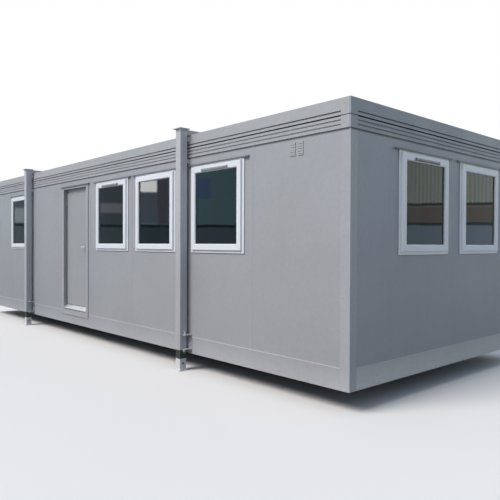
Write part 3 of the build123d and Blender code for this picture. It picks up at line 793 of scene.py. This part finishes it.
# Screws in the door frame's flange and in the wall vents
FLANGE_JAMB_SCREWS = 7
FLANGE_RAIL_SCREWS = (-0.3, 0.0, 0.3)
VENT_SCREW_RISE = 0.062
flange_screws = Pile()
flange_screw = pan_screw(0.005, 0.002)
for height in evenly(FLANGE_JAMB_SCREWS, FLANGE_FOOT + 0.06, FLANGE_HEAD - 0.04):
    for end in (-1, 1):
        across = DOOR_PLACE + end * (DOOR_WIDTH / 2 + FLANGE_SIDE * 0.55)
        flange_screws.add(flange_screw, on_side("front", across, height, FLANGE_SHEET))
for across in FLANGE_RAIL_SCREWS:
    for height in (FLANGE_HEAD - 0.02, FLANGE_FOOT + 0.03):
        flange_screws.add(flange_screw, on_side("front", DOOR_PLACE + across, height, FLANGE_SHEET))
vent_screw = pan_screw(0.0028, 0.0012)
for place in WALL_VENTS:
    for rise in (-VENT_SCREW_RISE, VENT_SCREW_RISE):
        flange_screws.add(vent_screw, on_side("front", place, VENT_MID + rise, VENT_DEPTH))
flange_screws.piece("door_frame_screws", "cabin", "door_paint", "door_paint")

# Screws and sealant of the flashings over the door and the windows
DRIP_SCREWS = 5
DRIP_SCREW_IN = 0.04
drip_screws, drip_beads = Pile(), Pile()
drip_screw = pan_screw(0.0042, 0.0018)
drip_places = [("front", DOOR_PLACE, FLANGE_HEAD, DOOR_WIDTH + 2 * (FLANGE_SIDE + DOOR_DRIP_OVERHANG))]
for side, place in WINDOWS:
    drip_places.append((side, place, WINDOW_MID + WINDOW_HEIGHT / 2, WINDOW_WIDTH + 2 * DRIP_OVERHANG))
for side, place, head, drip_width in drip_places:
    reach = drip_width / 2 - DRIP_SCREW_IN
    for across in evenly(DRIP_SCREWS, place - reach, place + reach):
        drip_screws.add(drip_screw, on_side(side, across, head + DRIP_SCREW_RISE, DRIP_SHEET))
    drip_bead = block(drip_width, 0.005, 0.005, 0.002)
    drip_beads.add(drip_bead, on_side(side, place, head + DRIP_TOP + 0.0015, 0.0005))
drip_screws.piece("flashing_screws", "cabin", "drip_paint", "steel_trim")
drip_beads.piece("flashing_sealant", "cabin", "sealant", "vent_plastic")

# Seals round the panes, the sashes, the window frames and the door frame
gaskets, sash_seals, beads = Pile(), Pile(), Pile()
gasket = ring(PANE_WIDTH, PANE_HEIGHT, 0.004, 0.0015, 0.0006)
sash_seal = ring(SASH_WIDTH + 0.006, SASH_HEIGHT + 0.006, 0.005, 0.002, 0.001)
bead = ring(WINDOW_WIDTH + 0.012, WINDOW_HEIGHT + 0.012, 0.006, 0.005, 0.003)
for side, place in WINDOWS:
    gaskets.add(gasket, on_side(side, place, WINDOW_MID, FRAME_PROUD))
    sash_seals.add(sash_seal, on_side(side, place, WINDOW_MID, FRAME_PROUD))
    beads.add(bead, on_side(side, place, WINDOW_MID))
flange_bead = ring(DOOR_WIDTH + 2 * FLANGE_SIDE + 0.01, FLANGE_HEAD - FLANGE_FOOT + 0.01, 0.005, 0.003, 0.002)
beads.add(flange_bead, on_side("front", DOOR_PLACE, (FLANGE_HEAD + FLANGE_FOOT) / 2))
gaskets.piece("glazing_gaskets", "cabin", "glazing_seal", "vent_plastic")
sash_seals.piece("sash_seals", "cabin", "sash_seal", "vent_plastic")
beads.piece("frame_sealant", "cabin", "sealant", "vent_plastic")


def mitre_line(border):
    """A fine raised line across the corner of a border, from its inner to its outer edge."""
    return block(border * math.sqrt(2), 0.0016, 0.0008, 0.0003)


# Welded mitres of the window frames and sashes: line, place from the middle of the window, and height
frame_inset = SASH_MARGIN / 2
flat_border = SASH_BORDER - BEAD_SLOPE - 0.006
sash_inset = 0.005 + flat_border / 2
mitre_places = [
    (mitre_line(SASH_MARGIN - 0.006), WINDOW_WIDTH / 2 - frame_inset, WINDOW_HEIGHT / 2 - frame_inset, FRAME_PROUD),
    (mitre_line(flat_border), SASH_WIDTH / 2 - sash_inset, SASH_HEIGHT / 2 - sash_inset, SASH_PROUD - 0.0003),
]
mitres = Pile()
for side, place in WINDOWS:
    for sx, sy in ((-1, -1), (-1, 1), (1, -1), (1, 1)):
        for line, half_x, half_y, out in mitre_places:
            corner = on_side(side, place + sx * half_x, WINDOW_MID + sy * half_y, out)
            mitres.add(line, corner @ turn(45 * sx * sy, "Z"))
mitres.piece("window_mitres", "cabin", "mitre_white", "white_frame")

# Fins and end caps of the trickle vent hoods
FIN_COUNT = 53
FIN_STEP = 0.0082
fins = Pile()
fin = block(0.0022, 0.011, 0.0016, 0.0005)
hood_cap = block(0.004, 0.028, 0.015, 0.0012)
for side, place in TRICKLE_VENTS:
    for i in range(FIN_COUNT):
        across = place + (i - FIN_COUNT // 2) * FIN_STEP
        fins.add(fin, on_side(side, across, TRICKLE_BOTTOM + 0.0070, TRICKLE_FACE))
    for end in (-1, 1):
        across = place + end * (TRICKLE_WIDTH / 2 + 0.001)
        fins.add(hood_cap, on_side(side, across, TRICKLE_BOTTOM + 0.014, SASH_PROUD + 0.0075))
fins.piece("trickle_vent_fins", "cabin", "trickle_grey", "vent_plastic")

# Seal in the door frame's rebate, on both jambs and the head
JAMB_SEAL_FOOT = 0.31
JAMB_SEAL = 0.0048
HEAD_SEAL = 0.0044
door_seal = Pile()
seal_out = -(LEAF_BACK - 0.0042)
jamb_seal = block(JAMB_SEAL, DOOR_TOP - JAMB_SEAL_FOOT, 0.007, 0.002)
for end in (-1, 1):
    across = DOOR_PLACE + end * (DOOR_WIDTH / 2 - JAMB_SEAL / 2)
    door_seal.add(jamb_seal, on_side("front", across, (DOOR_TOP + JAMB_SEAL_FOOT) / 2, seal_out))
head_seal = block(DOOR_WIDTH - 0.01, HEAD_SEAL, 0.007, 0.002)
door_seal.add(head_seal, on_side("front", DOOR_PLACE, DOOR_TOP - HEAD_SEAL / 2, seal_out))
door_seal.piece("door_seal", "cabin", "rubber", "vent_plastic")

# Ribs on the threshold's slope, whose margins are a share of the step between two ribs
RIB_COUNT = 6
RIB_MARGIN = 0.8
ribs = Pile()
slope_rise, slope_run = THRESHOLD_TOP[0] - THRESHOLD_NOSE[0], THRESHOLD_TOP[1] - THRESHOLD_NOSE[1]
slope_angle = math.degrees(math.atan2(slope_rise, -slope_run))
rib = block(DOOR_WIDTH - 0.02, 0.0045, 0.0026, 0.001)
for i in range(RIB_COUNT):
    share = (i + RIB_MARGIN) / (RIB_COUNT - 1 + 2 * RIB_MARGIN)
    height, out = THRESHOLD_NOSE[0] + share * slope_rise, THRESHOLD_NOSE[1] + share * slope_run
    ribs.add(rib, on_side("front", DOOR_PLACE, height, out) @ turn(slope_angle - 90, "X"))
ribs.piece("threshold_ribs", "cabin", "mill_aluminium", "mill_aluminium")

# A dark strip along the joint under the threshold's nose: painted shadow where the nose casts its shade
nose_shadow = Pile()
nose_shadow_line = block(DOOR_WIDTH - 0.004, 0.009, 0.003, 0.001)
nose_shadow.add(nose_shadow_line, on_side("front", DOOR_PLACE, DOOR_BOTTOM, FLANGE_SHEET))
nose_shadow.piece("threshold_shadow_strip", "cabin", "glazing_seal", "vent_plastic")

# Hinge screws and the caps of the hinge knuckles
HINGE_SCREW_DROPS = (0.013, 0.042)
HINGE_SCREW_DEPTHS = (0.056, 0.07)
frame_fittings, leaf_fittings = Pile(), Pile()
hinge_screw = pan_screw(0.004, 0.0007)
knuckle_cap = turned([(0.007, 0), (0.0066, 0.0016), (0.0048, 0.003), (0.002, 0.0037)], 20)
hinge_side = DOOR_PLACE - DOOR_WIDTH / 2
frame_half, leaf_half, knuckle = hinge_side + 0.0025, hinge_side + 0.0045, hinge_side + 0.0075
for height in HINGE_HEIGHTS:
    for drop in HINGE_SCREW_DROPS:
        for depth in HINGE_SCREW_DEPTHS:
            frame_fittings.add(hinge_screw, on_side("front", frame_half, height - drop, -depth) @ turn(90, "Y"))
            leaf_fittings.add(hinge_screw, on_side("front", leaf_half, height + drop, -depth) @ turn(-90, "Y"))
    top = on_side("front", knuckle, height + HINGE_HALF, -HINGE_AXIS_IN)
    bottom = on_side("front", knuckle, height - HINGE_HALF, -HINGE_AXIS_IN)
    leaf_fittings.add(knuckle_cap, top @ turn(-90, "X"))
    frame_fittings.add(knuckle_cap, bottom @ turn(90, "X"))
frame_fittings.piece("hinge_frame_fittings", "cabin", "hinge_zinc", "galvanised")
leaf_fittings.piece("hinge_leaf_fittings", "door", "hinge_zinc", "galvanised")

# Lock cylinders and screws on the handle plates of both faces of the leaf. The dark block on each cylinder is
# painted shade standing for its keyway slot
LOCK_DROP = 0.072
PLATE_SCREW_RISE = 0.086
BARREL_HEIGHT = 0.0034
locks, shaded_slots = Pile(), Pile()
barrel = turned([(0.0085, 0), (0.0085, 0.0026), (0.0078, BARREL_HEIGHT)], 28)
barrel_foot = block(0.010, 0.022, 0.0054, 0.0012)
shaded_slot = block(0.0022, 0.009, 0.0012, 0.0003)
plate_screw = pan_screw(0.0036, 0.0014)
plate_faces = [
    (-LEAF_RECESS + PLATE_THICKNESS, Matrix.Identity(4)),
    (-LEAF_BACK - PLATE_THICKNESS, turn(180, "Y")),
]
for face, facing in plate_faces:
    centre = on_side("front", LEVER_PLACE, LEVER_HEIGHT - LOCK_DROP, face) @ facing
    locks.add(barrel, centre)
    locks.add(barrel_foot, centre @ at(0, -0.0125, 0))
    shaded_slots.add(shaded_slot, centre @ at(0, 0, BARREL_HEIGHT))
    for rise in (-PLATE_SCREW_RISE, PLATE_SCREW_RISE):
        locks.add(plate_screw, on_side("front", LEVER_PLACE, PLATE_MID + rise, face) @ facing)
locks.piece("lock_cylinders", "door", "lever_metal", "lever_metal")
shaded_slots.piece("lock_shaded_slots", "door", "rubber", "vent_plastic")

# Bolts and weld beads of the jacks. The gussets' welds lie along both faces of each plate.
BOLT_ACROSS = 0.088
BOLT_INSET = 0.055
GUSSET_FACES = (0.0005, 0.0085)
bolts, welds = Pile(), Pile()
bracket_bolt = hex_bolt(0.024, 0.0125, 0.017)
for sx, sy in LEGS.values():
    side = "front" if sy < 0 else "back"
    place = -sx * sy * JACK_X
    for across in (-BOLT_ACROSS, BOLT_ACROSS):
        for height in (BRACKET_BOTTOM + BOLT_INSET, BRACKET_TOP - BOLT_INSET):
            bolts.add(bracket_bolt, on_side(side, place + across, height, BRACKET_BACK))
    post = at(sx * JACK_X, sy * POST_Y, GROUND_GAP)
    for height in (BRACKET_BOTTOM, BRACKET_TOP, POST_TOP - 0.002):
        welds.add(weld(square(POST_SIZE / 2, height), 0.0042, closed=True), post)
    beam_end = post @ at(0, -sy * (POST_SIZE / 2 + 0.001), POST_TOP - BEAM_SIZE / 2) @ turn(90, "X")
    welds.add(weld(square(BEAM_SIZE / 2, 0), 0.004, closed=True), beam_end)
    for across in (-1, 1):
        root = across * (POST_SIZE / 2 + 0.0005)
        tip, foot = root + across * (GUSSET_WIDTH - 0.004), BRACKET_TOP + 0.001
        for depth in GUSSET_FACES:
            y = -sy * depth
            corners = [(root, y, BRACKET_TOP + GUSSET_HEIGHT - 0.004), (root, y, foot), (tip, y, foot)]
            welds.add(weld(corners, 0.003), post)
bolts.piece("bracket_bolts", "cabin", "post_paint", "steel_trim")
welds.piece("post_welds", "cabin", "post_paint", "steel_trim")

# Weld beads of the foot plates and the rings that keep the pins in, which move with each leg
PIN_RING_RADIUS = 0.013
PIN_RING_WIRE = 0.0016
PIN_RING_STEPS = 28
PIN_RING_LEAN = 8
ring_line = [(0, PIN_RING_RADIUS * sin, PIN_RING_RADIUS * cos) for cos, sin in circle(PIN_RING_STEPS)]
pin_ring = tube(ring_line, [PIN_RING_WIRE] * PIN_RING_STEPS, 8, closed=True)
for leg_name, (sx, sy) in LEGS.items():
    leg_place = at(sx * JACK_X, sy * POST_Y, 0)
    foot_weld = Pile()
    foot_weld.add(weld(square(LEG_SIZE / 2, FOOT_TOP), 0.004, closed=True), leg_place)
    foot_weld.piece("foot_weld_" + leg_name, "jack_leg_" + leg_name, "zinc", "galvanised")
    clips = Pile()
    for end in (-1, 1):
        hang = leg_place @ at(end * (PIN_HALF - 0.008), 0, PIN_HEIGHT - PIN_RING_RADIUS - 0.004)
        clips.add(pin_ring, hang @ turn(end * PIN_RING_LEAN, "Y"))
    clips.piece("pin_rings_" + leg_name, "jack_leg_" + leg_name, "zinc", "galvanised")


# Laps of the roof covering
def lap(width, rise):
    """A strip across the roof that follows its camber, from one edge to the other."""
    verts, faces = [], []
    steps = 24
    for i in range(steps + 1):
        y = -ROOF_EDGE_HALF + 2 * ROOF_EDGE_HALF * i / steps
        z = ROOF_SKIN + ROOF_CAMBER * (1 - (y / ROOF_EDGE_HALF) ** 2)
        verts.extend([
            (-width / 2, y, z - 0.001), (-width / 2 + 0.004, y, z + rise),
            (width / 2 - 0.004, y, z + rise), (width / 2, y, z - 0.001),
        ])
    for i in range(steps):
        for k in range(4):
            a, b = i * 4 + k, i * 4 + (k + 1) % 4
            faces.append((a, a + 4, b + 4, b))
    last = steps * 4
    faces.extend([(0, 1, 2, 3), (last + 3, last + 2, last + 1, last)])
    return verts, faces


laps = Pile()
for place in evenly(9, -3.88, 4.12):
    laps.add(lap(0.1, 0.0025), at(place, 0, GROUND_GAP))
laps.piece("roof_laps", "cabin", "roof_felt", "roof_skin")

# Mastic along the roof's long edges: its section from the edge inwards and up
EDGE_FILLET = [(0, 0), (0.022, 0), (0.012, 0.008), (0, 0.02)]
mastic = Pile()
roof_end = HALF_LENGTH - CORNER
for sy in (-1, 1):
    verts = []
    for x in (-roof_end, roof_end):
        verts.extend((x, sy * (ROOF_EDGE_HALF - out), ROOF_SKIN + up - 0.0005) for out, up in EDGE_FILLET)
    faces = capped(2, 4)
    mastic.add((verts, faces if sy > 0 else [face[::-1] for face in faces]), at(0, 0, GROUND_GAP))
mastic.piece("roof_edge_mastic", "cabin", "rubber", "roof_skin")


# Floor, backdrop and light
FLOOR_RADIUS = 160
FLOOR_TONE = 0.80
FLOOR_BOUNCE = 0.32
FADE_START = 7.0
FADE_END = 22.0
BACKGROUND = 1.0
AMBIENT = 0.43
SKY = (0.70, 0.855, 1.06, 1)
HORIZON_RADIUS = 27.0
HORIZON_HEIGHT = 14.0
HORIZON_SIDES = 72
LOW_LINE = 2.62
HIGH_LINE = 3.65
CLADDING_STEP = 0.42
# Blocks of tone on the horizon: from and to in degrees round the cabin, bottom, top and colour
HORIZON_BLOCKS = [
    (-166.0, -146.0, 0.0, 9.0, (0.30, 0.38, 0.44)),
    (-136.7, -134.9, 4.3, 5.6, (0.42, 0.66, 1.20)),
    (-138.4, -131.0, 0.0, 2.62, (0.40, 0.50, 0.66)),
    (-145.2, -142.0, 4.7, 7.0, (6.2, 6.5, 6.3)),
    (-142.0, -140.6, 2.7, 9.0, (0.42, 0.43, 0.54)),
    (-145.2, -142.0, 2.8, 4.7, (0.50, 0.60, 0.76)),
    (-150.0, -146.0, 3.4, 4.0, (0.80, 0.85, 0.96)),
    (-164.0, -156.0, 2.75, 3.6, (0.85, 1.10, 1.10)),
]
# Name, direction, strength, softness in degrees and colour
SUNS = [
    ("key", (0.22, 1.0, -1.1), 2.85, 32, (1.0, 0.93, 0.87)),
    ("fill", (0.55, -1.0, -0.6), 0.6, 60, (0.97, 0.98, 1.0)),
]


def blended(tree, amount, first, second):
    """The first shader where the amount is 0 and the second one where it is 1."""
    mix = tree.nodes.new("ShaderNodeMixShader")
    for source, target in zip((amount, first, second), mix.inputs):
        tree.links.new(source, target)
    return mix.outputs[0]


def stage_floor():
    """A pale floor that turns into the background's white far from the object."""
    bpy.ops.mesh.primitive_circle_add(vertices=96, radius=FLOOR_RADIUS, fill_type="NGON", location=(0, 0, 0))
    floor = bpy.context.object
    floor.name = "floor"
    s = Surface("floor", 0.9, specular=0.1)
    seen = s.node("ShaderNodeLightPath").outputs["Is Camera Ray"]
    s.into("Base Color", s.mix(seen, (FLOOR_BOUNCE,) * 3, (FLOOR_TONE,) * 3))
    distance = s.node("ShaderNodeVectorMath")
    distance.operation = "LENGTH"
    s.join(s.place, distance.inputs[0])
    fade = s.times(s.ramp(distance.outputs["Value"], FADE_START, FADE_END), seen)
    glow = s.node("ShaderNodeEmission")
    glow.inputs["Strength"].default_value = BACKGROUND
    s.show(blended(s.tree, fade, s.shader.outputs[0], glow.outputs[0]))
    floor.data.materials.append(s.material)


def stage_horizon():
    """A dim ring far round the object that only gloss sees: what panes mirror in an open yard."""
    verts = []
    for height in (0.0, HORIZON_HEIGHT):
        verts.extend((HORIZON_RADIUS * cos, HORIZON_RADIUS * sin, height) for cos, sin in circle(HORIZON_SIDES))
    mesh = bpy.data.meshes.new("horizon")
    mesh.from_pydata(verts, [], sheath(2, HORIZON_SIDES))
    horizon = bpy.data.objects.new("horizon", mesh)
    SCENE.collection.objects.link(horizon)
    horizon.visible_camera = False
    horizon.visible_diffuse = False
    horizon.visible_transmission = False
    horizon.visible_shadow = False
    s = Surface("horizon")
    towards_back = s.ramp(s.y, -8.0, 8.0)
    high = s.mix(towards_back, (0.50, 0.90, 1.02), (1.03, 1.17, 1.08))
    low = s.mix(towards_back, (0.22, 0.32, 0.42), (0.62, 0.82, 1.04))
    dark = s.mix(towards_back, (0.08, 0.12, 0.16), (0.20, 0.24, 0.26))
    colour = s.mix(s.ramp(s.z, LOW_LINE, LOW_LINE + 0.1), low, high)
    dull = s.times(towards_back, s.within(s.z, 2.65, 3.55, 0.05))
    colour = s.mix(dull, colour, (0.55, 0.52, 0.47))
    degrees = s.math("MULTIPLY", s.math("ARCTAN2", s.y, s.x), 180 / math.pi)
    cladding = s.math("SINE", s.math("MULTIPLY", degrees, 2 * math.pi / CLADDING_STEP))
    clad = s.times(towards_back, s.ramp(s.z, 3.6, 3.7), 0.5)
    colour = s.tint(colour, s.ramp(cladding, -0.6, 0.6, 0.72, 1.16), clad)
    for start, end, bottom, top, tone in HORIZON_BLOCKS:
        inside = s.times(s.within(degrees, start, end, 0.2), s.within(s.z, bottom, top, 0.1))
        colour = s.mix(inside, colour, tone)
    for height, share in ((LOW_LINE, 1.0), (HIGH_LINE, towards_back)):
        line = s.ramp(s.math("ABSOLUTE", s.math("SUBTRACT", s.z, height)), 0.04, 0.12, 1.0, 0.0)
        colour = s.mix(s.math("MULTIPLY", line, share), colour, dark)
    colour = s.mix(s.ramp(s.z, 8.0, HORIZON_HEIGHT), colour, (BACKGROUND,) * 3)
    glow = s.node("ShaderNodeEmission")
    s.join(colour, glow.inputs["Color"])
    s.show(glow.outputs[0])
    horizon.data.materials.append(s.material)


def stage_world():
    """White for the camera, mirrors and glass, a soft blue-grey light for everything else."""
    world = bpy.data.worlds.new("studio")
    SCENE.world = world
    world.use_nodes = True
    tree = world.node_tree
    soft = tree.nodes["Background"]
    soft.inputs["Color"].default_value = SKY
    soft.inputs["Strength"].default_value = AMBIENT
    white = tree.nodes.new("ShaderNodeBackground")
    white.inputs["Color"].default_value = (1, 1, 1, 1)
    white.inputs["Strength"].default_value = BACKGROUND
    path = tree.nodes.new("ShaderNodeLightPath")
    total = path.outputs["Is Camera Ray"]
    for ray in ("Is Glossy Ray", "Is Transmission Ray"):
        either = tree.nodes.new("ShaderNodeMath")
        either.operation = "MAXIMUM"
        tree.links.new(total, either.inputs[0])
        tree.links.new(path.outputs[ray], either.inputs[1])
        total = either.outputs[0]
    mixed = blended(tree, total, soft.outputs[0], white.outputs[0])
    tree.links.new(mixed, tree.nodes["World Output"].inputs["Surface"])


def sun(name, towards, strength, softness, colour):
    lamp = bpy.data.lights.new(name, "SUN")
    lamp.energy = strength
    lamp.angle = math.radians(softness)
    lamp.color = colour
    made = bpy.data.objects.new(name, lamp)
    SCENE.collection.objects.link(made)
    made.rotation_mode = "QUATERNION"
    made.rotation_quaternion = Vector(towards).to_track_quat("-Z", "Y")


stage_floor()
stage_horizon()
stage_world()
for values in SUNS:
    sun(*values)

SCENE.view_settings.view_transform = "Standard"
